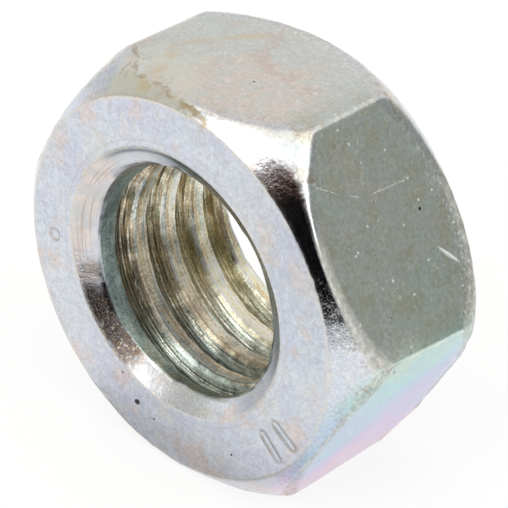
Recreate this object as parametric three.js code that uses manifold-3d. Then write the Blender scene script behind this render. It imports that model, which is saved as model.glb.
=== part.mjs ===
// M8 hexagon nut, right-hand coarse thread, chamfered and countersunk on both faces.
//
// Units are millimetres. The thread axis is Y, the marked face looks towards -Y, and the nut stands
// on one of its six flats, so two flats face +Z and -Z and two corners lie on the X axis.
// The origin is the middle of the nut, on the thread axis.

import * as THREE from 'three';
import { mergeVertices } from 'three/addons/utils/BufferGeometryUtils.js';
import Module from 'manifold-3d';

const wasm = await Module();
wasm.setup();

// ---- driving dimensions ----
const ACROSS_FLATS = 12.75;        // 13 mm spanner size, limits 12.73 to 13.00
const HEIGHT = 6.15;               // along the thread axis
const CORNER_ROUNDING = 0.65;      // radius on the six long edges
const BEARING_DIAMETER = 12.3;     // flat ring left between the outer chamfer and the countersink
const CHAMFER_DEG = 40;            // outer chamfer, from the plane of the face
const SHOULDER_DIAMETER = 13.7;    // where the chamfer rolls over towards the six corners
const SHOULDER_DEG = 60;           // the rolled part, from the plane of the face
const COUNTERSINK_DIAMETER = 8.75; // at the mouth
const COUNTERSINK_DEG = 120;       // included angle
const MAJOR_DIAMETER = 8.08;       // floor of the thread groove
const MINOR_DIAMETER = 7.16;       // crest of the thread, opened out for easy running
const PITCH = 1.25;
const ROOT_FLAT = PITCH / 8;       // axial width of the groove's floor
const FLANK_DEG = 30;              // each flank, from the plane square to the axis
const FIRST_GROOVE = 0.16;         // groove centre below the -Y face, on the -X side

const SEGMENTS = 48;               // facets in one turn of the thread
const CHAMFER_SEGMENTS = 96;       // facets in one turn of the outer chamfer
const OVERRUN = 1;                 // how far a cutter passes each face
const CLEARANCE = 0.2;             // how far a cutter stands off the surface that it leaves alone

const radians = THREE.MathUtils.degToRad;

// A three.js geometry as a manifold solid, with shared vertices merged and empty triangles dropped.
function solid(geometry) {
  const bare = geometry.clone();
  bare.deleteAttribute('normal');
  bare.deleteAttribute('uv');
  const merged = mergeVertices(bare, 1e-5);
  const index = merged.index.array;
  const triVerts = [];
  for (let i = 0; i < index.length; i += 3) {
    const [a, b, c] = [index[i], index[i + 1], index[i + 2]];
    if (a !== b && b !== c && c !== a) triVerts.push(a, b, c);
  }
  return new wasm.Manifold(new wasm.Mesh({
    numProp: 3,
    vertProperties: new Float32Array(merged.attributes.position.array),
    triVerts: new Uint32Array(triVerts),
  }));
}

// A manifold solid as a three.js geometry with flat-shaded faces.
function geometryOf(manifold) {
  const mesh = manifold.getMesh();
  const geometry = new THREE.BufferGeometry();
  geometry.setAttribute('position', new THREE.BufferAttribute(mesh.vertProperties, 3));
  geometry.setIndex(new THREE.BufferAttribute(mesh.triVerts, 1));
  geometry.computeVertexNormals();
  return geometry;
}

// Six-sided bar with rounded long edges. The outline is drawn in X and Z.
function hexagonBar() {
  const outline = new THREE.Shape();
  const centreRadius = (ACROSS_FLATS / 2 - CORNER_ROUNDING) / Math.cos(radians(30));
  for (let corner = 0; corner < 6; corner++) {
    const angle = radians(60 * corner);
    const x = centreRadius * Math.cos(angle);
    const z = centreRadius * Math.sin(angle);
    outline.absarc(x, z, CORNER_ROUNDING, angle - radians(30), angle + radians(30), false);
  }
  outline.closePath();
  const bar = new THREE.ExtrudeGeometry(outline, {
    depth: HEIGHT,
    bevelEnabled: false,
    curveSegments: 4,
  });
  bar.rotateX(Math.PI / 2);
  bar.translate(0, HEIGHT / 2, 0);
  return bar;
}

// Solid of revolution that trims the hexagon's corners at both faces, in two conical steps.
function chamferEnvelope() {
  const bearing = BEARING_DIAMETER / 2;
  const shoulder = SHOULDER_DIAMETER / 2;
  const reach = ACROSS_FLATS / 2 / Math.cos(radians(30)) + CLEARANCE;
  const chamferDrop = (shoulder - bearing) * Math.tan(radians(CHAMFER_DEG));
  const fullDrop = chamferDrop + (reach - shoulder) * Math.tan(radians(SHOULDER_DEG));
  const half = HEIGHT / 2;
  return new THREE.LatheGeometry([
    new THREE.Vector2(0, -half),
    new THREE.Vector2(bearing, -half),
    new THREE.Vector2(shoulder, -half + chamferDrop),
    new THREE.Vector2(reach, -half + fullDrop),
    new THREE.Vector2(reach, half - fullDrop),
    new THREE.Vector2(shoulder, half - chamferDrop),
    new THREE.Vector2(bearing, half),
    new THREE.Vector2(0, half),
  ], CHAMFER_SEGMENTS);
}

// Drilled hole with a countersink at each end, as one cutter.
function countersunkBore() {
  const minor = MINOR_DIAMETER / 2;
  const mouth = COUNTERSINK_DIAMETER / 2;
  const slope = 1 / Math.tan(radians(COUNTERSINK_DEG / 2));
  const half = HEIGHT / 2;
  const outside = half + OVERRUN;
  const flare = mouth + OVERRUN / slope;
  const coneEnd = half - (mouth - minor) * slope;
  return new THREE.LatheGeometry([
    new THREE.Vector2(0, -outside),
    new THREE.Vector2(flare, -outside),
    new THREE.Vector2(minor, -coneEnd),
    new THREE.Vector2(minor, coneEnd),
    new THREE.Vector2(flare, outside),
    new THREE.Vector2(0, outside),
  ], SEGMENTS);
}

// The thread groove: a trapezium, extruded straight, then wrapped round the axis as a right-hand
// helix. Along the straight bar, x is the radius, y is along the axis and z counts turns.
function threadGroove() {
  const inner = MINOR_DIAMETER / 2 - CLEARANCE;
  const outer = MAJOR_DIAMETER / 2;
  const halfRoot = ROOT_FLAT / 2;
  const halfMouth = halfRoot + (outer - inner) * Math.tan(radians(FLANK_DEG));
  const section = new THREE.Shape([
    new THREE.Vector2(inner, -halfMouth),
    new THREE.Vector2(outer, -halfRoot),
    new THREE.Vector2(outer, halfRoot),
    new THREE.Vector2(inner, halfMouth),
  ]);
  const turns = Math.ceil((HEIGHT + 2 * OVERRUN) / PITCH);
  const bar = new THREE.ExtrudeGeometry(section, {
    depth: turns,
    steps: turns * SEGMENTS,
    bevelEnabled: false,
  });
  const startY = -HEIGHT / 2 + FIRST_GROOVE + PITCH * (turns - 1);
  const point = bar.attributes.position;
  for (let i = 0; i < point.count; i++) {
    const turn = point.getZ(i);
    const angle = 2 * Math.PI * turn + Math.PI;
    const radius = point.getX(i);
    const along = startY - PITCH * turn + point.getY(i);
    point.setXYZ(i, radius * Math.cos(angle), along, radius * Math.sin(angle));
  }
  return bar;
}

const blank = solid(hexagonBar()).intersect(solid(chamferEnvelope()));
const tapped = blank.subtract(solid(countersunkBore())).subtract(solid(threadGroove()));

const zincPlate = new THREE.MeshStandardMaterial({
  color: 0xc4cad0,
  roughness: 0.32,
  metalness: 1,
});

const nut = new THREE.Mesh(geometryOf(tapped), zincPlate);
nut.name = 'hex_nut_m8';

const assembly = new THREE.Group();
assembly.add(nut);

export default assembly;
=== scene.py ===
"""An M8 hexagon nut in bright zinc plating, standing on one flat in a pale studio.

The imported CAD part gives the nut's place and size. This script lays a fine, closed skin over it with
worn edges, a cut thread and punched grade marks, and gives it a procedural zinc finish.
The skin is worked out in millimetres and scaled to metres as it becomes a mesh.
"""

import math

import bpy
import numpy as np
from mathutils import Matrix, Vector


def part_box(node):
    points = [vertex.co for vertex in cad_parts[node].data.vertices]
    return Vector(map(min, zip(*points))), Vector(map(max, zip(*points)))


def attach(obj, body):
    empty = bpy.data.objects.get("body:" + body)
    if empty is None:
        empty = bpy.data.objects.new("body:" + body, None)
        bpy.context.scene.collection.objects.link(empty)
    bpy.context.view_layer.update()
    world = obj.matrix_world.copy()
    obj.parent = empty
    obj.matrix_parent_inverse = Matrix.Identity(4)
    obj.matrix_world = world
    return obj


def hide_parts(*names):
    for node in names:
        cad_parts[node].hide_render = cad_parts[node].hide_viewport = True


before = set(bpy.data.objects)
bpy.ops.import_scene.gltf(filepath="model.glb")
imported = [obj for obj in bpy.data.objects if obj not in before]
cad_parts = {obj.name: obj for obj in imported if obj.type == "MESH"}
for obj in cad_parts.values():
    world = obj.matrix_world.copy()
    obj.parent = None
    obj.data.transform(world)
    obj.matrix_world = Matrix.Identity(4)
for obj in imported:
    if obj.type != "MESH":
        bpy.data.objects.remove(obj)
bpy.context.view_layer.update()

NODE = "hex_nut_m8"
MM = 0.001

# ---- sizes from the frame, in millimetres ----
low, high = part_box(NODE)
HEIGHT = (high.y - low.y) / MM
ACROSS_FLATS = (high.z - low.z) / MM
ACROSS_CORNERS = (high.x - low.x) / MM
FRONT = -HEIGHT / 2
BACK = HEIGHT / 2
COS_30 = math.cos(math.radians(30))
LONG_EDGE_ROUNDING = (ACROSS_FLATS / 2 - ACROSS_CORNERS / 2 * COS_30) / (1 - COS_30)

# ---- sizes of the nut's details, in millimetres ----
BEARING_RADIUS = 6.15  # outer edge of the flat ring
BEARING_SHIFT = (-0.10, -0.05)  # the formed ring sits a little off centre, in X and Z
BACK_BEARING_RADIUS = 6.42  # the back face is chamfered less, and least on its lower right
BACK_SHIFT = (-0.18, -0.38)
CHAMFER_LEAST = 0.10  # narrowest chamfer, measured across
OUTER_CHAMFER = math.radians(40)  # from the plane of the face
SHOULDER_RADIUS = 6.85  # beyond this the chamfer rolls over towards the corners
SHOULDER_SOFTNESS = 0.08
SHOULDER = math.radians(60)
MOUTH_RADIUS = 4.375  # countersink at the face
MOUTH_SHIFT = (-0.20, 0.12)
COUNTERSINK_DEPTH = 0.37  # where its cone meets the thread's crests
CREST_FLARE = 0.10  # the first crests are worn wider towards the mouth
CREST_SHIFT = (-0.16, 0.10)  # and follow the mouth's offset
FLARE_REACH = 0.9
MOUTH_SLOPE = 1.7  # radius lost per millimetre of depth at the mouth; it grows further in
MAJOR_RADIUS = 4.04
MINOR_RADIUS = 3.58
PITCH = 1.25
ROOT_FLAT = PITCH / 5
FLANK = math.radians(30)
FIRST_GROOVE = 0.16  # groove centre below the front face, on the -X side
GROOVE_REACH = 0.17  # depth at which the thread first breaks into the countersink
GROOVE_START = (0.20, 0.72)  # over this depth the first groove grows to its full size
MOUTH_ROUND = 0.05
RING_EDGE_ROUND = 0.12  # bearing ring into outer chamfer
FLAT_EDGE_ROUND = 0.10  # outer chamfer into spanner flat, halfway along a flat
CORNER_EDGE_ROUND = 0.85  # the same crease where it reaches a corner
BACK_EDGE_ROUND = 0.45  # extra on the back, which has taken more knocks
CORNER_SHARES = (0.5, 0.35, 1.0, 0.8, 1.0, 1.0)  # of the full rounding, one for each long edge
CREST_ROUND = 0.07
ROOT_ROUND = 0.07

# ---- how finely the skin is divided ----
CORNER_COLUMNS = 7
FLAT_COLUMNS = 56
ARC_STEPS = 4
THREAD_ARC_STEPS = 3
CONE_ROWS = 2
RING_ROWS = 24
CHAMFER_ROWS = 7
FLAT_ROWS = 18
THREAD_ROWS = (2, 2, 0, 2, 2)


def waves(points, wavelength, seed, count=14):
    """Smooth seeded noise, mostly from -1 to 1: a sum of plane waves in random directions."""
    rng = np.random.default_rng(seed)
    total = np.zeros(points.shape[:-1])
    for _ in range(count):
        direction = rng.normal(size=3)
        direction /= np.linalg.norm(direction)
        length = wavelength * rng.uniform(0.7, 1.5)
        phase = rng.uniform(0, 2 * math.pi)
        total += np.sin(points @ direction * 2 * math.pi / length + phase)
    return total / math.sqrt(count)


def smooth_step(start, end, x):
    t = np.clip((x - start) / (end - start), 0, 1)
    return t * t * (3 - 2 * t)


def unit(v):
    return v / np.maximum(np.linalg.norm(v, axis=-1, keepdims=True), 1e-12)


# ---- outline of the nut ----


def long_edge(rounding):
    """Distance out of a long edge's centre of rounding, and the polar half-angle it takes up."""
    centre = (ACROSS_FLATS / 2 - rounding) / COS_30
    return centre, math.radians(30) - np.arctan2(centre / 2, ACROSS_FLATS / 2)


def column_angles():
    """Angles of the skin's columns once round the nut, packed closely over each rounded corner."""
    _, corner = long_edge(LONG_EDGE_ROUNDING)
    flat = math.radians(60) - 2 * corner
    steps = [corner / CORNER_COLUMNS] * CORNER_COLUMNS
    sector = steps + [flat / FLAT_COLUMNS] * FLAT_COLUMNS + steps
    return np.cumsum([0] + sector * 6)[:-1]


def off_corner(angle):
    """Signed angle from the nearest corner."""
    return (angle + math.radians(30)) % math.radians(60) - math.radians(30)


def hexagon_radius(angle):
    """Distance from the axis to the six-sided outline, whose corners are not equally worn."""
    nearest = np.round(angle / math.radians(60)).astype(int) % 6
    radius = LONG_EDGE_ROUNDING * np.array(CORNER_SHARES)[nearest]
    centre, corner = long_edge(radius)
    off = off_corner(angle)
    flat = ACROSS_FLATS / 2 / np.cos(math.radians(30) - np.abs(off))
    inside = np.maximum(radius**2 - (centre * np.sin(off)) ** 2, 0)
    rounded = centre * np.cos(off) + np.sqrt(inside)
    return np.where(np.abs(off) > corner, flat, rounded)


def shifted(radius, shift, angle):
    """Polar radius of a circle whose centre is a little off the axis."""
    return radius + shift[0] * np.cos(angle) + shift[1] * np.sin(angle)


def crease_rounding(angle, width, extra):
    """Rounding of the crease between chamfer and flat: tight along a flat, soft at the corners.

    width is how far the chamfer reaches inward, which limits the rounding it can take.
    """
    closeness = 1 - np.abs(off_corner(angle)) / math.radians(30)
    wander = 0.5 + 0.5 * np.sin(5 * angle + 3.35)
    soft = CORNER_EDGE_ROUND * (0.7 + 0.3 * wander)
    wanted = FLAT_EDGE_ROUND + extra * wander + (soft - FLAT_EDGE_ROUND) * closeness**2
    slope = width / math.cos(OUTER_CHAMFER) - RING_EDGE_ROUND * math.tan(OUTER_CHAMFER / 2)
    most = 0.9 * slope / math.tan((math.pi / 2 - OUTER_CHAMFER) / 2)
    return np.minimum(wanted, most)[:, None]


def rounded_path(corners, roundings, runs, arc_steps):
    """Rows of points along straight runs joined by rounded corners, for every column at once.

    corners is a list of (columns, 2) arrays that starts and ends with the path's end points, and
    runs gives the number of rows inside each straight run. Returns the rows, and for each row the
    place it has along the path: whole numbers are corners, and halves are runs.
    """
    rows = [corners[0]]
    places = [0.0]
    last = corners[0]
    for k in range(1, len(corners) - 1):
        before = unit(corners[k] - corners[k - 1])
        after = unit(corners[k + 1] - corners[k])
        cosine = np.clip((before * after).sum(-1, keepdims=True), -1, 1)
        turn = np.arccos(cosine)
        reach = roundings[k - 1] * np.tan(turn / 2)
        start = corners[k] - before * reach
        inward = unit(after - before * cosine)
        for s in range(1, runs[k - 1] + 1):
            rows.append(last + (start - last) * s / (runs[k - 1] + 1))
            places.append(k - 0.5)
        for s in range(arc_steps + 1):
            a = turn * s / arc_steps
            rows.append(start + roundings[k - 1] * (np.sin(a) * before + (1 - np.cos(a)) * inward))
            places.append(float(k))
        last = corners[k] + after * reach
    for s in range(1, runs[-1] + 2):
        rows.append(last + (corners[-1] - last) * s / (runs[-1] + 1))
        places.append(len(corners) - 1.5)
    return np.array(rows), np.array(places)


def countersink_radius(depth, angle, shift):
    """Radius of the countersink at a depth below its face. It is slightly dished."""
    full_drop = MOUTH_RADIUS - MINOR_RADIUS - CREST_FLARE
    curve = (full_drop - MOUTH_SLOPE * COUNTERSINK_DEPTH) / COUNTERSINK_DEPTH**2
    inward = np.maximum(depth, 0)
    return shifted(MOUTH_RADIUS, shift, angle) - MOUTH_SLOPE * depth - curve * inward**2


def crest_radius(depth, angle):
    """Radius of the thread's crests at a depth below the front face."""
    beyond = np.maximum(depth - COUNTERSINK_DEPTH, 0)
    flare = np.maximum(shifted(CREST_FLARE, CREST_SHIFT, angle), 0)
    return MINOR_RADIUS + flare * np.exp(-beyond / FLARE_REACH)


def roll_shoulders(rows):
    """Rolls the chamfer over towards the corners by sliding its outer part along the axis."""
    radius, along = rows[..., 0], rows[..., 1]
    beyond = np.logaddexp(0, (radius - SHOULDER_RADIUS) / SHOULDER_SOFTNESS) * SHOULDER_SOFTNESS
    extra = beyond * (math.tan(SHOULDER) - math.tan(OUTER_CHAMFER))
    fade = smooth_step(0, HEIGHT / 2, np.abs(along))
    rows[..., 1] = along - np.sign(along) * extra * fade


def outside_rows(angle):
    """The skin from the front countersink, over the outside, to the back countersink."""
    flat = hexagon_radius(angle)
    ring_front = shifted(BEARING_RADIUS, BEARING_SHIFT, angle)
    ring_back = np.minimum(shifted(BACK_BEARING_RADIUS, BACK_SHIFT, angle), flat - CHAMFER_LEAST)
    drop = math.tan(OUTER_CHAMFER)

    def at(radius, along):
        return np.stack([radius + 0 * angle, along + 0 * angle], -1)

    corners = [
        at(countersink_radius(GROOVE_REACH, angle, MOUTH_SHIFT), FRONT + GROOVE_REACH),
        at(countersink_radius(0, angle, MOUTH_SHIFT), FRONT),
        at(ring_front, FRONT),
        at(flat, FRONT + (flat - ring_front) * drop),
        at(flat, BACK - (flat - ring_back) * drop),
        at(ring_back, BACK),
        at(countersink_radius(0, angle, (0, 0)), BACK),
        at(countersink_radius(GROOVE_REACH, angle, (0, 0)), BACK - GROOVE_REACH),
    ]
    roundings = [
        MOUTH_ROUND,
        RING_EDGE_ROUND,
        crease_rounding(angle, flat - ring_front, 0),
        crease_rounding(angle, flat - ring_back, BACK_EDGE_ROUND),
        RING_EDGE_ROUND,
        MOUTH_ROUND,
    ]
    runs = [CONE_ROWS, RING_ROWS, CHAMFER_ROWS, FLAT_ROWS, CHAMFER_ROWS, RING_ROWS, CONE_ROWS]
    rows, places = rounded_path(corners, roundings, runs, ARC_STEPS)
    crease_gap = np.minimum(
        np.linalg.norm(rows - corners[3], axis=-1),
        np.linalg.norm(rows - corners[4], axis=-1),
    )
    roll_shoulders(rows)
    return rows, places, crease_gap


def thread_profile():
    """One pitch of thread: rows of (distance from the groove's centre, radius), crest to crest."""
    half_root = ROOT_FLAT / 2
    half_mouth = half_root + (MAJOR_RADIUS - MINOR_RADIUS) * math.tan(FLANK)
    crest = PITCH / 2
    corners = [
        (-crest, MINOR_RADIUS),
        (-half_mouth, MINOR_RADIUS),
        (-half_root, MAJOR_RADIUS),
        (half_root, MAJOR_RADIUS),
        (half_mouth, MINOR_RADIUS),
        (crest, MINOR_RADIUS),
    ]
    corners = [np.array([c], float) for c in corners]
    roundings = [CREST_ROUND, ROOT_ROUND, ROOT_ROUND, CREST_ROUND]
    rows, places = rounded_path(corners, roundings, THREAD_ROWS, THREAD_ARC_STEPS)
    return rows[:-1, 0], places[:-1]


# ---- skin of points and faces ----

REGION_NAMES = ("ring", "chamfer", "flat", "cone", "crest", "groove", "edge", "crease", "corner")
VALUE_NAMES = REGION_NAMES + ("mark", "turn_cos", "turn_sin")
OUTSIDE_REGIONS = {0.5: "cone", 1.5: "ring", 2.5: "chamfer", 3.5: "flat", 4.5: "chamfer"}
OUTSIDE_REGIONS.update({5.5: "ring", 6.5: "cone"})
CREST_PLACES = (0, 0.5, 1, 4, 4.5)  # on the thread's own path
CREASE_REACH = 0.55  # how far the crease value spreads into chamfer and flat
SEAM_GAP = 0.02  # least distance from the thread's rows to the rows that they end on


class Skin:
    """Points, faces and per-point values of the nut's closed surface, in millimetres."""

    def __init__(self):
        self.points = []
        self.faces = []
        self.values = {}

    def add(self, radius, along, angle, **values):
        """Adds points given in polar form and returns their numbers."""
        first = sum(len(p) for p in self.points)
        place = np.stack([radius * np.cos(angle), along + 0 * angle, radius * np.sin(angle)], -1)
        self.points.append(place)
        for name in VALUE_NAMES:
            value = values.get(name, 0.0)
            self.values.setdefault(name, []).append(value + 0 * np.asarray(angle))
        return first + np.arange(len(place))

    def face(self, corners):
        """Adds one face, leaving out corners that fall together."""
        kept = [c for k, c in enumerate(corners) if c != corners[k - 1]]
        if len(kept) >= 3:
            self.faces.append(kept)


def add_outside(skin, angle):
    """The rows outside the thread. Returns the point numbers of the first and the last row."""
    rows, places, crease_gap = outside_rows(angle)
    closeness = 1 - np.abs(off_corner(angle)) / math.radians(30)
    numbers = []
    for row, place, gap in zip(rows, places, crease_gap):
        values = {"crease": np.exp(-gap / CREASE_REACH), "corner": closeness}
        if place in OUTSIDE_REGIONS:
            values[OUTSIDE_REGIONS[place]] = 1.0
        elif place == 0:
            values["cone"] = 1.0
        else:
            values["edge"] = 1.0
            values[OUTSIDE_REGIONS[place - 0.5]] = 0.5
            values[OUTSIDE_REGIONS[place + 0.5]] = values.get(OUTSIDE_REGIONS[place + 0.5], 0) + 0.5
        numbers.append(skin.add(row[:, 0], row[:, 1], angle, turn_cos=1.0, **values))
    for lower, upper in zip(numbers, numbers[1:]):
        for i in range(len(angle)):
            j = (i + 1) % len(angle)
            skin.face([lower[i], upper[i], upper[j], lower[j]])
    return numbers[0], numbers[-1]


def add_thread(skin, angle, front_row, back_row):
    """The tapped hole. Its rows follow the helix, and end on the two rows they are given."""
    profile, places = thread_profile()
    per_pitch = len(profile)
    start = FRONT + FIRST_GROOVE + PITCH * (0.5 - 2)
    turns = math.ceil((HEIGHT + 3 * PITCH) / PITCH)
    count = turns * per_pitch
    columns = len(angle)
    inside_front = FRONT + GROOVE_REACH + SEAM_GAP
    inside_back = BACK - GROOVE_REACH - SEAM_GAP
    number = np.full((columns, count), -1)
    for n in range(count):
        offset, radius = profile[n % per_pitch]
        place = places[n % per_pitch]
        centre = start + PITCH * (n // per_pitch) - PITCH * angle / (2 * math.pi)
        along = centre + offset
        depth = (radius - MINOR_RADIUS) * smooth_step(*GROOVE_START, centre - FRONT)
        cone_front = countersink_radius(along - FRONT, angle, MOUTH_SHIFT)
        cone_back = countersink_radius(BACK - along, angle, (0, 0))
        cone = np.maximum(cone_front, cone_back)
        wall = crest_radius(along - FRONT, angle)
        wall = wall + depth * (MAJOR_RADIUS - wall) / (MAJOR_RADIUS - MINOR_RADIUS)
        cut = np.maximum(cone, wall)
        on_cone = smooth_step(-0.01, 0.03, cone - wall)
        on_crest = 1.0 if place in CREST_PLACES else 0.0
        phase = 2 * math.pi * offset / PITCH
        number[:, n] = np.where(along < inside_front, front_row, back_row)
        keep = np.nonzero((along > inside_front) & (along < inside_back))[0]
        number[keep, n] = skin.add(
            cut[keep],
            along[keep],
            angle[keep],
            cone=on_cone[keep],
            crest=(1 - on_cone[keep]) * on_crest,
            groove=(1 - on_cone[keep]) * (1 - on_crest) * smooth_step(0, 0.15, depth[keep]),
            edge=(1 - on_cone[keep]) * (1.0 if place in (1, 4) else 0.0),
            turn_cos=math.cos(phase),
            turn_sin=math.sin(phase),
        )
    for i in range(columns):
        here = number[i]
        if i + 1 < columns:
            there = number[i + 1]
        else:
            there = np.concatenate([np.full(per_pitch, front_row[0]), number[0][:-per_pitch]])
        for n in range(count - 1):
            skin.face([here[n], there[n], there[n + 1], here[n + 1]])


def nut_skin():
    angle = column_angles()
    skin = Skin()
    front_row, back_row = add_outside(skin, angle)
    add_thread(skin, angle, front_row, back_row)
    return skin


# ---- wear and marks in the surface ----

BROAD_WAVINESS = 0.006
FINE_WAVINESS = 0.0025
CREASE_WEAR = 0.012  # how far the creases wander in and out
THREAD_WEAR = 0.012
DENT_COUNT = 70
DENT_RADII = (0.10, 0.32)
DENT_DEPTH_SHARE = 0.06  # of the dent's radius
KNOCK_DEPTH = 0.28
KNOCK_SPREAD = 0.65  # the knocked edge fades over this, up and down from the corner
KNOCK_SOFTNESS = 0.15  # rounding at its middle
KNOCK_START = (0.4, 1.6)  # over these depths from the front face it begins, and then fades out
KNOCK_END = (1.0, 5.0)
MARK_DEPTH = 0.07
MARK_RADIUS = 5.35  # grade marks sit halfway across the bearing ring
MARK_WIDTH = 0.30
BAR_LENGTH = 0.85
DOT_AT = 184  # degrees round the axis
BARS_AT = (-34, -43)


def wear(points, value):
    """Height of forming waviness and edge wear over the surface."""
    height = BROAD_WAVINESS * waves(points, 2.5, 11) + FINE_WAVINESS * waves(points, 0.8, 12)
    rough_edge = 0.6 * waves(points, 0.9, 13) + 0.4 * waves(points, 0.35, 14)
    outside_edge = value["edge"] * (value["flat"] + value["chamfer"])
    height += CREASE_WEAR * outside_edge * rough_edge
    inside = value["crest"] + value["groove"]
    height += THREAD_WEAR * inside * waves(points, 0.6, 15)
    height += 0.5 * THREAD_WEAR * value["edge"] * value["crest"] * waves(points, 0.3, 16)
    return height


def dents(points, value):
    """Small shallow knocks scattered over the outside, each with a slightly raised rim."""
    rng = np.random.default_rng(21)
    outside = np.nonzero(value["crest"] + value["groove"] + value["cone"] < 0.01)[0]
    height = np.zeros(len(points))
    for centre in rng.choice(outside, DENT_COUNT):
        radius = rng.uniform(*DENT_RADII)
        gap = np.linalg.norm(points - points[centre], axis=-1) / radius
        height -= DENT_DEPTH_SHARE * radius * (1 - 1.2 * gap**2) * np.exp(-2 * gap**2)
    return height


def knocked_edge(points):
    """How far the long edge on the +X side has been knocked back. It is worst at the front."""
    gap = np.hypot(points[:, 2], KNOCK_SOFTNESS) - KNOCK_SOFTNESS
    near = np.where(points[:, 0] > 0, np.exp(-gap / KNOCK_SPREAD), 0)
    depth = points[:, 1] - FRONT
    return KNOCK_DEPTH * near * smooth_step(*KNOCK_START, depth) * (1 - smooth_step(*KNOCK_END, depth))


def mark_place(degrees):
    a = math.radians(degrees)
    return np.array([MARK_RADIUS * math.cos(a), FRONT, MARK_RADIUS * math.sin(a)])


def grade_marks(points):
    """Shape, from 0 to 1, of generic grade marks punched in the front: a dot and two radial bars."""
    dot_gap = np.linalg.norm(points - mark_place(DOT_AT), axis=-1)
    shape = 1 - smooth_step(MARK_WIDTH * 0.35, MARK_WIDTH, dot_gap)
    for degrees in BARS_AT:
        offset = points - mark_place(degrees)
        outward = unit(mark_place(degrees) - np.array([0, FRONT, 0]))
        reach = offset @ outward
        side = offset - reach[:, None] * outward
        beyond = np.maximum(np.abs(reach) - BAR_LENGTH / 2, 0)
        gap = np.hypot(beyond, np.linalg.norm(side, axis=-1))
        shape = np.maximum(shape, 1 - smooth_step(MARK_WIDTH * 0.2, MARK_WIDTH * 0.65, gap))
    return shape


def roughen(mesh, points, value):
    """Moves every point along its normal, in millimetres, by the wear, dents and marks."""
    normals = np.empty(len(points) * 3, np.float32)
    mesh.vertices.foreach_get("normal", normals)
    height = wear(points, value) + dents(points, value) - MARK_DEPTH * value["mark"]
    height -= knocked_edge(points) * (value["flat"] + value["chamfer"])
    moved = points + normals.reshape(-1, 3) * height[:, None]
    moved[:, 2] = np.clip(moved[:, 2], -ACROSS_FLATS / 2, None)
    mesh.vertices.foreach_set("co", (moved * MM).ravel())
    mesh.update()


def mesh_from(skin, name):
    """The skin as a Blender mesh in metres, with its values as point attributes."""
    mesh = bpy.data.meshes.new(name)
    points = np.concatenate(skin.points)
    mesh.from_pydata((points * MM).tolist(), [], [[int(c) for c in f] for f in skin.faces])
    value = {}
    for label in VALUE_NAMES:
        value[label] = np.concatenate(skin.values[label])
        if label == "mark":
            value[label] = grade_marks(points)
        layer = mesh.attributes.new(label, "FLOAT", "POINT")
        layer.data.foreach_set("value", value[label].astype(np.float32))
    mesh.shade_smooth()
    mesh.update()
    roughen(mesh, points, value)
    return mesh


def build_nut():
    mesh = mesh_from(nut_skin(), "nut_skin")
    body = bpy.data.objects.new("nut_body", mesh)
    bpy.context.scene.collection.objects.link(body)
    return body


# ---- shader building ----

AXIS = (0, 1, 0)  # along the thread, towards the back
UP = (0, 0, 1)
UPPER_LEFT = (-0.5, 0, 0.87)
UPPER_RIGHT = (COS_30, 0, 0.5)
LOWER_RIGHT = (COS_30, 0, -0.5)


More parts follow.
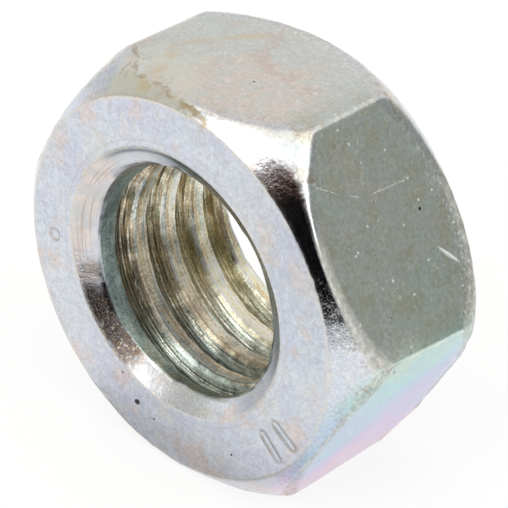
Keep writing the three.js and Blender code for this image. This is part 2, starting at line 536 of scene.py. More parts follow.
class Nodes:
    """Short ways to add and join the nodes of one shader."""

    def __init__(self, tree):
        self.tree = tree

    def add(self, kind, **settings):
        node = self.tree.nodes.new(kind)
        for name, value in settings.items():
            setattr(node, name, value)
        return node

    def feed(self, socket, value):
        if isinstance(value, bpy.types.NodeSocket):
            self.tree.links.new(value, socket)
        else:
            socket.default_value = value

    def math(self, operation, a, b=0.0, clamp=False):
        node = self.add("ShaderNodeMath", operation=operation, use_clamp=clamp)
        self.feed(node.inputs[0], a)
        self.feed(node.inputs[1], b)
        return node.outputs[0]

    def chain(self, operation, values):
        result = values[0]
        for value in values[1:]:
            result = self.math(operation, result, value)
        return result

    def times(self, *values):
        return self.chain("MULTIPLY", values)

    def plus(self, *values):
        return self.chain("ADD", values)

    def most(self, *values):
        return self.chain("MAXIMUM", values)

    def gap(self, a, b):
        return self.math("ABSOLUTE", self.math("SUBTRACT", a, b))

    def at_most_one(self, a):
        return self.math("MINIMUM", a, 1.0)

    def flip(self, a):
        return self.math("SUBTRACT", 1.0, a, clamp=True)

    def band(self, value, start, end, low_value=0.0, high_value=1.0):
        """Smooth change from low_value to high_value as the value goes from start to end."""
        node = self.add("ShaderNodeMapRange", interpolation_type="SMOOTHSTEP")
        for socket, number in zip(node.inputs, (value, start, end, low_value, high_value)):
            self.feed(socket, number)
        return node.outputs[0]

    def mix(self, amount, a, b):
        node = self.add("ShaderNodeMix", data_type="RGBA")
        self.feed(node.inputs[0], amount)
        self.feed(node.inputs[6], a if isinstance(a, bpy.types.NodeSocket) else (*a, 1))
        self.feed(node.inputs[7], b if isinstance(b, bpy.types.NodeSocket) else (*b, 1))
        return node.outputs[2]

    def layers(self, colour, *coats):
        """The colour under coats of (mask, strength, colour), laid one after another."""
        for mask, strength, coat in coats:
            colour = self.mix(self.times(mask, strength), colour, coat)
        return colour

    def blend(self, amount, a, b):
        """The same as mix, for single numbers."""
        node = self.add("ShaderNodeMix", data_type="FLOAT")
        self.feed(node.inputs[0], amount)
        self.feed(node.inputs[2], a)
        self.feed(node.inputs[3], b)
        return node.outputs[0]

    def noise(self, point, scale, detail=2.0, roughness=0.5, distortion=0.0):
        node = self.add("ShaderNodeTexNoise")
        self.feed(node.inputs["Vector"], point)
        self.feed(node.inputs["Scale"], scale)
        self.feed(node.inputs["Detail"], detail)
        self.feed(node.inputs["Roughness"], roughness)
        self.feed(node.inputs["Distortion"], distortion)
        return node.outputs["Fac"]

    def patches(self, point, kind, *limits):
        """Band over a noise. Its kind is the scale, detail, roughness and distortion."""
        return self.band(self.noise(point, *kind), *limits)

    def ramp(self, value, stops):
        node = self.add("ShaderNodeValToRGB")
        elements = node.color_ramp.elements
        while len(elements) < len(stops):
            elements.new(0.5)
        for element, (position, colour) in zip(elements, stops):
            element.position = position
            element.color = (*colour, 1)
        self.feed(node.inputs[0], value)
        return node.outputs[0]

    def value_of(self, name):
        return self.add("ShaderNodeAttribute", attribute_name=name).outputs["Fac"]

    def vector(self, operation, a, b=None, scale=None):
        node = self.add("ShaderNodeVectorMath", operation=operation)
        self.feed(node.inputs[0], a)
        if b is not None:
            self.feed(node.inputs[1], b)
        if scale is not None:
            self.feed(node.inputs["Scale"], scale)
        return node.outputs["Value" if operation in ("DOT_PRODUCT", "LENGTH") else "Vector"]

    def reach(self, point, heading):
        """How far a point lies along a heading."""
        return self.vector("DOT_PRODUCT", point, heading)

    def side(self, point, heading, *limits):
        """Band over how far a point lies along a heading."""
        return self.band(self.reach(point, heading), *limits)


def hairlines(n, point, heading, fineness, thickness, seed):
    """Thin, nearly straight scratches that run along the heading and break off here and there."""
    long_way = Vector(heading).normalized()
    across = long_way.orthogonal().normalized()
    third = long_way.cross(across)
    drawn = n.add("ShaderNodeCombineXYZ")
    for socket, axis, scale in zip(drawn.inputs, (long_way, across, third), (0.12, fineness, fineness)):
        n.feed(socket, n.times(n.reach(point, axis), scale))
    level = n.noise(n.vector("ADD", drawn.outputs[0], (seed, 0, 0)), 1.0, 1.0)
    line = n.band(n.gap(level, 0.5), thickness, 0.0)
    broken = n.patches(n.vector("ADD", point, (seed, seed, 0)), (1.0, 3.0, 0.6), 0.60, 0.66)
    return n.times(line, broken)


def specks(n, point, scale, radius, share, seed):
    """Small round spots, one in each of a share of random cells."""
    node = n.add("ShaderNodeTexVoronoi")
    n.feed(node.inputs["Vector"], n.vector("ADD", point, (seed, seed, seed)))
    n.feed(node.inputs["Scale"], scale)
    chosen = n.math("LESS_THAN", n.reach(node.outputs["Color"], (1, 0, 0)), share)
    return n.times(n.band(node.outputs["Distance"], radius * scale, radius * scale * 0.5), chosen)


def streak(n, point, centre, heading, length, width):
    """One deliberate scratch: a slim spindle of the given size, laid along the heading."""
    heading = Vector(heading).normalized()
    local = n.vector("SUBTRACT", point, centre)
    reach = n.reach(local, heading)
    aside = n.vector("SUBTRACT", local, n.vector("SCALE", heading, scale=reach))
    slim = n.add("ShaderNodeCombineXYZ")
    n.feed(slim.inputs[0], n.times(reach, 2 / length))
    n.feed(slim.inputs[1], n.times(n.vector("LENGTH", aside), 2 / width))
    return n.band(n.vector("LENGTH", slim.outputs[0]), 1.0, 0.4)


def stroke(n, point, start, end, width):
    """A streak laid from one place to another."""
    start, end = Vector(start), Vector(end)
    return streak(n, point, (start + end) / 2, end - start, 1.2 * (end - start).length, width)


def trail(n, point, places, width):
    """Streaks laid end to end through the given places."""
    return n.most(*[stroke(n, point, *ends, width) for ends in zip(places, places[1:])])


def spot(n, point, centre, radius):
    """Mask of one round spot."""
    return n.band(n.vector("LENGTH", n.vector("SUBTRACT", point, centre)), radius, radius * 0.7)


def facing(n, point, degrees):
    """Cosine of the angle, seen along the axis, between a point and the given direction."""
    a = math.radians(degrees)
    outward = n.vector("NORMALIZE", n.vector("MULTIPLY", point, (1, 0, 1)))
    return n.reach(outward, (math.cos(a), 0, math.sin(a)))


def wandering(n, point, scale, amount):
    """The point moved about by smooth noise, which makes the edges of masks ragged."""
    node = n.add("ShaderNodeTexNoise")
    n.feed(node.inputs["Vector"], point)
    n.feed(node.inputs["Scale"], scale)
    n.feed(node.inputs["Detail"], 4.0)
    push = n.vector("SUBTRACT", node.outputs["Color"], (0.5, 0.5, 0.5))
    return n.vector("ADD", point, n.vector("SCALE", push, scale=amount))


# ---- zinc plating ----

ZINC = (0.70, 0.735, 0.80)
LAVENDER = (0.66, 0.69, 0.79)
WARM = (0.80, 0.76, 0.69)
PINK = (0.76, 0.64, 0.58)
DULL_LILAC = (0.57, 0.56, 0.54)
STEEL_GREY = (0.50, 0.52, 0.54)
STRAW = (0.76, 0.65, 0.44)
PALE_STRAW = (0.86, 0.84, 0.71)
RUST = (0.42, 0.32, 0.18)
BROWN = (0.36, 0.24, 0.13)
DARK = (0.06, 0.055, 0.05)
REFLECTED_BLACK = (0.10, 0.07, 0.06)
SLATE = (0.10, 0.12, 0.15)
TEAL = (0.33, 0.44, 0.45)
SILVER = (0.58, 0.64, 0.62)
PALE_TEAL = (0.48, 0.55, 0.56)
MOSS = (0.20, 0.22, 0.15)
SAGE_MOSS = (0.38, 0.40, 0.33)
TAN = (0.70, 0.60, 0.46)
GOLD = (0.72, 0.60, 0.33)
OLD_CREAM = (0.42, 0.39, 0.33)
SAGE = (0.66, 0.705, 0.675)
PALE_SAGE = (0.86, 0.89, 0.83)
OLIVE = (0.61, 0.57, 0.42)
PALE_COOL = (0.76, 0.79, 0.76)
PEACH = (0.86, 0.77, 0.70)
CREAM = (0.86, 0.82, 0.72)
WORN = (0.88, 0.89, 0.90)
CHALK = (0.95, 0.95, 0.93)
FILM = (
    (0.00, (0.70, 0.74, 0.60)),
    (0.25, (0.45, 0.71, 0.72)),
    (0.45, (0.50, 0.62, 0.80)),
    (0.62, (0.66, 0.56, 0.80)),
    (0.78, (0.80, 0.60, 0.72)),
    (1.00, (0.66, 0.66, 0.80)),
)
SCRATCH_HEADINGS = ((-0.40, 0.60, 0.69), (0.20, 0.92, -0.35), (0.70, 0.0, 0.71), (-0.85, 0.10, 0.50))
DARK_REFLECTION_SIDE = 223  # where the cone is painted with a dark reflection, flecked and roughened, in degrees round the axis
SHADED_SIDE = -25  # where painted shade darkens the cone
TOOL_RING_RADIUS = 4.62  # a faint line left round the mouth by the countersinking tool
PIT_DEPTH = 0.03  # depths of the painted relief, in millimetres
SCRATCH_DEPTH = 0.002


def on_right_flat(across, along):
    """A place on the flat that faces up and right. Across is towards its top edge."""
    out = ACROSS_FLATS / 2
    return (out * COS_30 - across * 0.5, along, out * 0.5 + across * COS_30)


def on_top(x, along):
    return (x, along, ACROSS_FLATS / 2)


def on_face(x, z):
    return (x, FRONT, z)


def long_scratch(n, point):
    """A long, faint, bent scratch across the right-hand flat."""
    places = [on_right_flat(*place) for place in ((2.25, -2.2), (1.65, -1.3), (1.28, -0.5), (1.15, 1.7))]
    broken = n.patches(point, (4.0, 3.0, 0.7), 0.40, 0.60, 0.05, 0.32)
    return n.times(trail(n, point, places, 0.05), broken)


def nick(n, point):
    """A short bright gouge near the back of the right-hand flat."""
    return stroke(n, point, on_right_flat(-1.02, 1.48), on_right_flat(-1.79, 2.14), 0.16)


def black_pits(n, point):
    """A few single pits in the ring and the right-hand flat."""
    ragged = wandering(n, point, 9.0, 0.10)
    pits = (
        (on_face(-1.69, -4.85), 0.12),
        (on_face(-0.94, -5.12), 0.05),
        (on_face(2.37, -4.74), 0.05),
        (on_face(-2.33, -4.06), 0.05),
        (on_right_flat(0.22, 1.37), 0.07),
    )
    return n.most(*[spot(n, ragged, place, radius) for place, radius in pits])


def water_stains(n, point):
    """Where water dried at the upper left: thin brown lines, straw smears, and a pale halo."""
    ragged = wandering(n, point, 3.0, 0.35)
    ragged = n.vector("ADD", n.vector("MULTIPLY", ragged, (1, 1, 0)), on_top(0, 0))
    fork = (-1.7, -2.6)
    drip = [on_top(*place) for place in ((-3.6, -1.4), (-2.7, -2.1), (-2.2, -2.7), fork)]
    run = [on_top(*place) for place in (fork, (-0.3, -2.9), (1.3, -3.0))]
    smear = [on_top(*place) for place in (fork, (-2.0, -1.4), (-2.6, -0.6), (-2.1, 0.5), (-0.9, 2.0))]
    uneven = n.patches(point, (2.6, 4.0, 0.65), 0.34, 0.56, 0.35, 1.0)
    shown = n.times(uneven, n.side(point, UP, 5.3, 5.9))
    lines = n.most(trail(n, ragged, drip, 0.24), trail(n, ragged, run, 0.22))
    smears = n.most(trail(n, ragged, smear, 0.60), spot(n, ragged, on_top(*fork), 0.45))
    halo = spot(n, wandering(n, point, 0.8, 2.6), on_top(*fork), 1.9)
    return n.times(lines, shown), n.times(smears, shown), halo


def right_flat(n, point):
    """Mask of the flat that faces up and right."""
    return n.side(point, UPPER_RIGHT, 5.0, 6.2)


def flat_tint(n, point):
    """Base colour that differs a little from one spanner flat to the next."""
    blush = spot(n, wandering(n, point, 0.9, 2.0), on_top(0.9, -1.1), 2.5)
    freckles = n.patches(point, (2.0, 3.0, 0.6), 0.38, 0.60, 0.25, 0.9)
    top = n.layers(PALE_COOL, (blush, freckles, PEACH))
    right = n.layers(
        SAGE,
        (n.patches(point, (1.3, 5.0, 0.75), 0.46, 0.62), 0.6, OLIVE),
        (n.patches(point, (7.0, 5.0, 0.75), 0.58, 0.66), 0.6, PALE_SAGE),
    )
    return n.layers(ZINC, (n.side(point, UP, 4.5, 6.2), 1.0, top), (right_flat(n, point), 1.0, right))


def film_amount(n, point):
    """How strongly the passivation colours show: most on the flat that faces down and right."""
    downward = n.times(n.side(point, LOWER_RIGHT, 5.7, 6.3), 0.85)
    return n.at_most_one(n.plus(downward, n.times(n.patches(point, (0.25, 2.0), 0.45, 0.7), 0.12)))


def zinc_colour(n, point, region, fine):
    """The plating: lavender, warm and pink clouds, the film's rainbow, and a fine mottle."""
    broad = n.noise(point, 0.35, 3.0, 0.55)
    blush = n.patches(n.vector("ADD", point, (7, 3, 5)), (0.7, 3.0, 0.6), 0.54, 0.66)
    thickness = n.plus(n.reach(point, (-0.045, 0.02, -0.078)), 0.50, n.times(n.plus(broad, -0.5), 0.7))
    colour = n.layers(
        ZINC,
        (n.band(broad, 0.42, 0.62), 1.0, LAVENDER),
        (region["flat"], 1.0, flat_tint(n, point)),
        (n.patches(point, (1.1, 4.0, 0.6, 0.6), 0.52, 0.68), 0.45, WARM),
        (blush, n.blend(right_flat(n, point), 0.6, 0.15), PINK),
        (film_amount(n, point), 1.0, n.ramp(thickness, FILM)),
    )
    mottle = n.band(fine, 0.30, 0.72, n.blend(region["ring"], 0.86, 0.81), 1.06)
    cloud = n.patches(point, (3.5, 4.0, 0.7), 0.36, 0.64, 0.94, 1.04)
    return n.vector("SCALE", colour, scale=n.times(mottle, n.blend(region["ring"], 1.0, cloud)))


def along_thread(n, point, region, fineness, stretch, detail=3.0):
    """Noise that is drawn out along the thread. A smaller stretch makes longer marks."""
    profile = n.add("ShaderNodeCombineXYZ")
    n.feed(profile.inputs[0], n.times(region["turn_cos"], fineness))
    n.feed(profile.inputs[1], n.times(region["turn_sin"], fineness))
    n.feed(profile.inputs[2], n.reach(point, (0.1 * stretch, stretch, stretch)))
    return n.noise(profile.outputs[0], 1.0, detail, 0.62)


def thread_colour(n, point, region, colour, lines):
    """Teal first crest, then crests and grooves tanned by residue in lines along the thread."""
    patches = along_thread(n, point, region, 0.9, 0.6, 2.0)
    small = n.noise(point, 6.0, 5.0, 0.75)
    below = n.side(point, (0.35, 0, -0.94), 0.5, 3.3)
    left = n.side(point, (-0.94, 0, -0.34), 2.6, 3.8)
    groove = n.layers(
        MOSS,
        (n.band(patches, 0.36, 0.56), 1.0, TAN),
        (n.band(patches, 0.50, 0.62), 0.5, STRAW),
        (n.band(lines, 0.47, 0.43), 0.9, CREAM),
        (n.band(lines, 0.51, 0.54), 0.8, BROWN),
        (n.band(lines, 0.57, 0.60), 0.9, DARK),
        (below, 0.75, n.mix(n.band(lines, 0.47, 0.53), SILVER, TEAL)),
        (n.band(small, 0.55, 0.63), 0.7, DARK),
        # painted shade in the root of each groove
        (n.band(region["turn_cos"], 0.80, 0.96), 0.85, DARK),
        # painted shade: the grooves are darkened towards the left
        (left, 0.25, MOSS),
    )
    later_crest = n.layers(
        PALE_TEAL,
        (n.band(patches, 0.44, 0.54), 1.0, TAN),
        (n.band(lines, 0.46, 0.40), 0.7, CREAM),
        (n.band(lines, 0.53, 0.58), 0.6, BROWN),
    )
    crest = n.layers(
        TEAL,
        (n.band(lines, 0.47, 0.60), 0.3, ZINC),
        (below, n.patches(point, (2.2, 4.0, 0.7), 0.40, 0.60, 0.3, 1.0), SAGE_MOSS),
        (n.side(point, AXIS, FRONT + 0.9, FRONT + 1.4), 0.9, later_crest),
        (n.band(small, 0.55, 0.64), 0.6, MOSS),
    )
    inside = n.at_most_one(n.plus(region["crest"], region["groove"]))
    thread = n.mix(n.math("DIVIDE", region["groove"], n.plus(inside, 0.001)), crest, groove)
    thread = n.mix(n.side(point, AXIS, FRONT + 1.5, BACK, 0.0, 0.3), thread, GOLD)
    # tone: random light and dark patches, and painted light that lightens the thread towards its back
    # opening
    tone = n.times(
        n.patches(point, (13.0, 3.0, 0.7), 0.36, 0.64, 0.75, 1.25),
        n.patches(point, (0.6, 3.0), 0.40, 0.60, 0.75, 1.40),
        n.side(point, AXIS, FRONT + 1, BACK, 1.0, 1.65),
    )
    return n.mix(inside, colour, n.vector("SCALE", thread, scale=tone))


def cone_colour(n, point, region, colour):
    """The countersink: warm with turning marks on its left, painted shade under its top edge and on its
    lower right, and a painted dark reflection with flecks on its lower left.
    """
    turning = n.add("ShaderNodeCombineXYZ")
    n.feed(turning.inputs[0], n.times(n.reach(point, AXIS), 20.0))
    n.feed(turning.inputs[1], n.times(n.reach(point, (0.7, 0, 0.7)), 0.3))
    marks = n.patches(turning.outputs[0], (1.0, 3.0, 0.6), 0.50, 0.60)
    left = n.side(point, (-0.94, 0, 0.34), 3.2, 4.1)
    top = n.side(point, (-0.15, 0, 0.99), 3.4, 4.2)
    dark_reflection_zone = n.band(facing(n, wandering(n, point, 5.0, 0.8), DARK_REFLECTION_SIDE), 0.925, 0.975)
    rust = n.patches(point, (8.0, 4.0, 0.75), 0.50, 0.58)
    flecks = n.patches(n.vector("ADD", point, (4, 0, 9)), (8.0, 4.0, 0.8), 0.55, 0.61)
    tint = n.layers(
        colour,
        (left, 0.75, n.mix(n.patches(point, (1.3, 5.0, 0.7), 0.40, 0.60), DULL_LILAC, PINK)),
        (n.times(marks, left), 0.4, BROWN),
        # painted shade: the top of the cone is greyed, and darkest just under the mouth's edge
        (top, 0.6, STEEL_GREY),
        (n.times(top, n.side(point, AXIS, FRONT + 0.14, FRONT + 0.05)), 0.85, SLATE),
        # painted dark reflection on the lower left of the cone, with brown and cream flecks over it
        (dark_reflection_zone, 0.80, REFLECTED_BLACK),
        (n.times(dark_reflection_zone, rust), 0.60, BROWN),
        (n.times(dark_reflection_zone, flecks), 0.85, CREAM),
    )
    # painted shade: the cone is darkened towards its lower right
    painted_shade = n.band(facing(n, point, SHADED_SIDE), 0.80, 0.97, 1.0, 0.60)
    return n.mix(region["cone"], colour, n.vector("SCALE", tint, scale=painted_shade))


def stained(n, point, region, colour):
    """Water stains at the upper left, and straw and brown along the creases near the corners."""
    lines, smears, halo = water_stains(n, point)
    patch = n.noise(point, 1.3, 5.0, 0.65, 0.4)
    near_corner = n.band(region["corner"], 0.35, 0.95, 0.35, 1.0)
    upper = n.side(point, UPPER_LEFT, 1.0, 5.0, 0.3, 1.0)
    crease = n.times(n.band(region["crease"], 0.22, 0.75), near_corner, upper)
    tide = n.times(n.band(n.gap(patch, 0.55), 0.018, 0.0), n.band(region["crease"], 0.15, 0.6))
    return n.layers(
        colour,
        (n.times(halo, n.flip(region["ring"])), 0.5, PALE_STRAW),
        (smears, 0.55, STRAW),
        (lines, 0.75, RUST),
        (n.times(crease, n.band(patch, 0.44, 0.60)), 0.40, STRAW),
        (n.times(tide, near_corner), 0.75, BROWN),
    )


def edge_finish(n, point, region, colour, fine):
    """Straw-coloured ring edges, bright worn flat edges, and a darker, dull cream on the lower ones."""
    rim = n.times(region["edge"], region["ring"], n.band(fine, 0.40, 0.62))
    outer_edge = n.times(region["edge"], region["flat"])
    worn = n.times(outer_edge, n.patches(point, (3.0, 4.0, 0.7), 0.42, 0.58), 0.6)
    # the lower flat edges are made darker and rougher, which dims their highlights
    dull = n.times(outer_edge, n.side(point, UP, 4.4, 3.2))
    dull_cream = n.mix(n.patches(point, (5.0, 4.0, 0.75), 0.44, 0.60), OLD_CREAM, CREAM)
    colour = n.layers(colour, (rim, 0.9, STRAW), (worn, 1.0, WORN), (dull, 0.85, dull_cream))
    return colour, worn, dull


def rubbed(n, point, region):
    """Pale speckle along the back creases of the flats and on the torn part of the chamfer."""
    crease = n.times(n.band(region["crease"], 0.12, 0.55), region["flat"])
    behind = n.times(n.side(point, AXIS, 0.3, 1.6), crease, 0.55)
    chamfer = n.times(n.band(facing(n, point, 15), 0.93, 0.98), region["chamfer"])
    dark_reflection_zone = n.times(n.side(point, UPPER_LEFT, 0.6, -1.4), chamfer, 0.5)
    return n.times(n.patches(point, (7.5, 4.0, 0.75), 0.50, 0.62), n.most(behind, dark_reflection_zone))


def small_marks(n, point, region):
    """Masks of hairline scratches, gouges, pits, fine pits and pale specks."""
    plain = n.at_most_one(n.plus(region["flat"], region["ring"]))
    scratches = 0.0
    for k, heading in enumerate(SCRATCH_HEADINGS):
        scratches = n.plus(scratches, hairlines(n, point, heading, 2.4, 0.007, 3 + 14 * k))
    gouges = n.most(long_scratch(n, point), nick(n, point))
    dots = n.times(specks(n, point, 3.4, 0.06, 0.20, 13), region["flat"], 0.55)
    dust = n.times(n.patches(point, (4.5, 4.0, 0.75), 0.55, 0.70), region["flat"], 0.22)
    corner_line = n.times(n.band(region["corner"], 0.974, 0.988), region["flat"])
    corner_line = n.times(corner_line, n.patches(point, (7.0, 4.0, 0.7), 0.46, 0.60, 0.10, 0.50))
    return {
        "scratches": n.times(scratches, plain),
        "gouges": gouges,
        "pits": n.most(n.times(specks(n, point, 2.5, 0.050, 0.04, 5), plain), black_pits(n, point)),
        "fine_pits": n.times(specks(n, point, 5.0, 0.034, 0.18, 9), plain),
        "pale": n.most(dots, dust, rubbed(n, point, region), n.times(gouges, 0.6), corner_line),
    }


def marked(n, point, region, colour, fine, marks):
    """The colour with its small marks, the tool's ring round the mouth and the dirty grade marks."""
    from_mouth = n.vector("MULTIPLY", n.vector("SUBTRACT", point, on_face(*MOUTH_SHIFT)), (1, 0, 1))
    tool_line = n.band(n.gap(n.vector("LENGTH", from_mouth), TOOL_RING_RADIUS), 0.04, 0.0)
    outline = n.times(n.band(region["mark"], 0.05, 0.35), n.band(region["mark"], 0.95, 0.6))
    return n.layers(
        colour,
        (n.at_most_one(marks["scratches"]), 0.08, WORN),
        (marks["fine_pits"], 0.5, BROWN),
        (marks["pits"], 1.0, DARK),
        (marks["pale"], 1.0, CHALK),
        (n.times(tool_line, region["ring"], n.band(fine, 0.40, 0.60)), 0.35, BROWN),
        (outline, n.band(fine, 0.4, 0.6, 0.15, 0.6), BROWN),
    )


def zinc_roughness(n, region, fine, lines, worn, dull):
    """Satin ring and flats, glossy chamfer and cone, and a dull thread and dull lower edges."""
    glossy = n.plus(n.times(region["chamfer"], 0.25), n.times(region["cone"], 0.24))
    rough = n.math("SUBTRACT", n.band(fine, 0.3, 0.7, 0.28, 0.36), glossy)
    rough = n.blend(region["crest"], rough, 0.42)
    rough = n.blend(region["groove"], rough, n.band(lines, 0.4, 0.6, 0.18, 0.38))
    rough = n.blend(worn, rough, 0.15)
    return n.blend(n.at_most_one(n.times(dull, 2.0)), rough, 0.60)


def zinc_height(n, point, region, fine, lines, marks):
    """Height of the fine relief, in millimetres."""
    torn_cone = n.band(facing(n, point, DARK_REFLECTION_SIDE), 0.91, 0.98, 0.0012, 0.0060)
    torn_chamfer = n.side(point, UPPER_LEFT, 1.0, -0.8, 0.0014, 0.0060)
    pebble = n.times(n.noise(point, 15.0, 3.0, 0.6), n.blend(region["cone"], torn_chamfer, torn_cone))
    return n.plus(
        n.times(fine, 0.006),
        n.times(n.noise(point, 26.0, 3.0, 0.6), 0.0018),
        n.times(pebble, n.plus(region["chamfer"], region["cone"])),
        n.times(n.noise(point, 2.2, 2.0), 0.006),
        n.times(lines, region["groove"], 0.07),
        n.times(lines, region["crest"], 0.02),
        n.times(marks["scratches"], -SCRATCH_DEPTH),
        n.times(marks["pits"], -PIT_DEPTH),
        n.times(marks["gouges"], -PIT_DEPTH),
    )


def zinc_plate():
    """Bright zinc with a thin passivation film, stains, pits, scratches and worn edges."""
    material = bpy.data.materials.new("zinc_plate")
    material.use_nodes = True
    n = Nodes(material.node_tree)
    shader = material.node_tree.nodes["Principled BSDF"]
    region = {name: n.value_of(name) for name in VALUE_NAMES}
    coordinates = n.add("ShaderNodeTexCoord")
    point = n.vector("SCALE", coordinates.outputs["Object"], scale=1 / MM)
    fine = n.noise(point, 9.0, 6.0, 0.7)
    lines = along_thread(n, point, region, 3.2, 0.35)
    marks = small_marks(n, point, region)

    colour = zinc_colour(n, point, region, fine)
    colour = cone_colour(n, point, region, colour)
    colour = thread_colour(n, point, region, colour, lines)
    colour = stained(n, point, region, colour)
    colour, worn, dull = edge_finish(n, point, region, colour, fine)
    colour = marked(n, point, region, colour, fine, marks)
    n.feed(shader.inputs["Base Color"], colour)
    n.feed(shader.inputs["Metallic"], n.band(marks["pale"], 0.0, 1.0, 1.0, 0.3))
    n.feed(shader.inputs["Roughness"], zinc_roughness(n, region, fine, lines, worn, dull))
    bump = n.add("ShaderNodeBump")
    n.feed(bump.inputs["Height"], zinc_height(n, point, region, fine, lines, marks))
    n.feed(bump.inputs["Distance"], MM)
    n.feed(shader.inputs["Normal"], bump.outputs[0])
    return material


nut = build_nut()
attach(nut, "root")
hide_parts(NODE)
nut.data.materials.append(zinc_plate())

# ---- floor, light and camera ----

FLOOR_LEVEL = -ACROSS_FLATS / 2
FLOOR_GAP = 0.01
FLOOR_GLOW = 0.80
FLOOR_PAPER = 0.20
SIDE = ACROSS_FLATS / math.sqrt(3)  # length of one side of the hexagon
CONTACT_REACH = 3.2  # painted contact shadow: in reflections the glow fades within this of the nut's footprint, in mm
CONTACT_GLOW = 0.30  # what is left of it at the nut's foot
CONTACT_BLUR = 0.8  # the fade only shows ahead of the front face, and starts over this


def glowing(name, paper, colour):
    """A matt material that gives off light of the given colour. Returned with its shader."""
    material = bpy.data.materials.new(name)
    material.use_nodes = True
    shader = material.node_tree.nodes["Principled BSDF"]
    shader.inputs["Base Color"].default_value = (paper, paper, paper, 1)
    shader.inputs["Roughness"].default_value = 0.9
    shader.inputs["Specular IOR Level"].default_value = 0
    shader.inputs["Emission Color"].default_value = (*colour, 1)
    shader.inputs["Emission Strength"].default_value = 1
    return material, shader


def add_floor():
    """A white light table: it glows evenly for the camera and still takes a faint shadow; in reflections
    its glow is cut ahead of the nut's foot, a painted contact shadow.
    """
    bpy.ops.mesh.primitive_plane_add(size=2, location=(0, 0, low.z - FLOOR_GAP * MM))
    floor = bpy.context.object
    floor.name = "floor"
    paper, shader = glowing("paper", FLOOR_PAPER, (1, 1, 1))
    n = Nodes(paper.node_tree)
    place = n.add("ShaderNodeNewGeometry").outputs["Position"]
    middle = n.vector("SUBTRACT", place, ((low.x + high.x) / 2, (low.y + high.y) / 2, low.z))
    past = n.vector("SUBTRACT", n.vector("ABSOLUTE", middle), (SIDE * MM / 2, HEIGHT * MM / 2, 0))
    distance = n.vector("LENGTH", n.vector("MAXIMUM", past, (0, 0, 0)))
    # painted contact shadow, seen only in reflections
    near_nut = n.band(distance, 0, CONTACT_REACH * MM, CONTACT_GLOW, FLOOR_GLOW)
    ahead = n.side(middle, AXIS, (FRONT + CONTACT_BLUR) * MM, (FRONT - CONTACT_BLUR) * MM)
    reflected = n.blend(ahead, FLOOR_GLOW, near_nut)
    seen = n.add("ShaderNodeLightPath").outputs["Is Camera Ray"]
    n.feed(shader.inputs["Emission Strength"], n.blend(seen, reflected, FLOOR_GLOW))
    floor.data.materials.append(paper)


def direction(azimuth, elevation):
    """Unit vector; azimuth in degrees from -Y towards +X, elevation above the horizon."""
    a, e = math.radians(azimuth), math.radians(elevation)
    return Vector((math.sin(a) * math.cos(e), -math.cos(a) * math.cos(e), math.sin(e)))


CARDS = (
    # name, azimuth, distance, bottom, top, half width, colour; sizes in mm
    ("black_flag", 28, 30, FLOOR_LEVEL, 26, 17, (0.004, 0.004, 0.004)),
    ("brown_edge", 28, 29.5, 21, 26.5, 17, (0.20, 0.10, 0.075)),
    ("low_flag", -4.5, 17, -5.3, -1.0, 2.5, (0.020, 0.010, 0.008)),
    ("grey_card", 132, 34, FLOOR_LEVEL, 27, 26, (0.32, 0.335, 0.315)),
)


def add_card(name, azimuth, distance, bottom, top, half_width, colour):
    """A plain card standing round the nut that only shows in its reflections."""
    ahead = direction(azimuth, 0)
    aside = Vector((ahead.y, -ahead.x, 0))
    corners = []
    for across, up in ((-1, bottom), (1, bottom), (1, top), (-1, top)):
        corners.append((ahead * distance + aside * across * half_width + Vector((0, 0, up))) * MM)
    mesh = bpy.data.meshes.new(name)
    mesh.from_pydata(corners, [], [(0, 1, 2, 3)])
    mesh.materials.append(glowing(name, 0, colour)[0])
    card = bpy.data.objects.new(name, mesh)
    bpy.context.scene.collection.objects.link(card)
    card.visible_camera = False
    card.visible_shadow = False
    card.visible_diffuse = False


def panel(n, view, azimuth, elevation, half_width, half_height, softness):
    """Mask of a rectangular light far away. Half sizes and softness are tangents of angles."""
    centre = direction(azimuth, elevation)
    side = Vector(UP).cross(centre).normalized()
    upright = centre.cross(side)
    ahead = n.reach(view, centre)
    depth = n.math("MAXIMUM", ahead, 0.001)
    mask = n.math("GREATER_THAN", ahead, 0.001)
    for axis, half in ((side, half_width), (upright, half_height)):
        across = n.math("ABSOLUTE", n.math("DIVIDE", n.reach(view, axis), depth))
        mask = n.times(mask, n.band(across, half + softness, half - softness))
    return mask


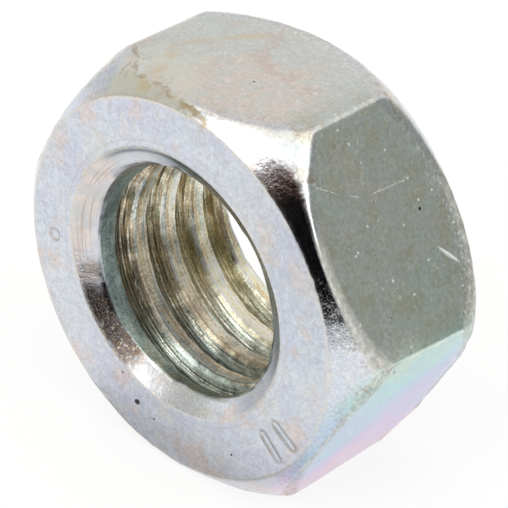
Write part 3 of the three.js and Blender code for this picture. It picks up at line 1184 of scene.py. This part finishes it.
BACKDROP = (0.98, 0.98, 0.98)
HORIZON_LIGHT = (0.73, 0.74, 0.77)
CEILING_LIGHT = (1.25, 1.22, 1.12)
STUDIO_PANELS = (
    # azimuth, elevation, half width, half height, softness, colour
    (-139, 40, 0.90, 0.75, 0.30, (0.75, 0.735, 0.73)),
    (-52, 26, 0.56, 0.50, 0.12, (0.68, 0.66, 0.57)),
    (50, 54, 0.80, 0.28, 0.08, (1.45, 1.45, 1.41)),
    (-11, 37, 0.25, 0.25, 0.03, (3.2, 3.15, 3.0)),
    (92, 25, 0.30, 0.36, 0.08, (2.2, 2.2, 2.15)),
    (-15, 13, 0.19, 0.09, 0.04, (2.3, 2.2, 2.0)),
)


def add_world():
    """Pale surroundings for the camera, and a soft studio of light panels for the reflections."""
    world = bpy.data.worlds.new("studio")
    world.use_nodes = True
    n = Nodes(world.node_tree)
    background = world.node_tree.nodes["Background"]
    view = n.add("ShaderNodeTexCoord").outputs["Generated"]
    light = n.mix(n.side(view, UP, 0.60, 0.80), HORIZON_LIGHT, CEILING_LIGHT)
    for *place_and_size, colour in STUDIO_PANELS:
        light = n.mix(panel(n, view, *place_and_size), light, colour)
    seen = n.add("ShaderNodeLightPath").outputs["Is Camera Ray"]
    n.feed(background.inputs["Color"], n.mix(seen, light, BACKDROP))
    bpy.context.scene.world = world


CAMERA_AZIMUTH = 42.74
CAMERA_ELEVATION = 32.22
CAMERA_ROLL = -1.65
CAMERA_DISTANCE = 6.4156 * ACROSS_FLATS
CAMERA_PAN = (0.01244 * ACROSS_FLATS, -0.00185 * ACROSS_FLATS)
CAMERA_LENS = 191.15
CAMERA_SENSOR = 36


def add_camera():
    data = bpy.data.cameras.new("camera")
    camera = bpy.data.objects.new("camera", data)
    bpy.context.scene.collection.objects.link(camera)
    back = direction(CAMERA_AZIMUTH, CAMERA_ELEVATION)
    level = direction(CAMERA_AZIMUTH + 90, 0)
    roll = Matrix.Rotation(math.radians(-CAMERA_ROLL), 3, back)
    right = roll @ level
    up = roll @ back.cross(level)
    centre = (Vector(low) + Vector(high)) / 2
    place = centre + (back * CAMERA_DISTANCE + right * CAMERA_PAN[0] + up * CAMERA_PAN[1]) * MM
    turn = Matrix((right, up, back)).transposed()
    camera.matrix_world = Matrix.Translation(place) @ turn.to_4x4()
    data.lens = CAMERA_LENS
    data.sensor_width = CAMERA_SENSOR
    data.clip_start = MM
    bpy.context.scene.camera = camera


add_floor()
for card in CARDS:
    add_card(*card)
add_world()
add_camera()
bpy.context.scene.view_settings.view_transform = "Standard"
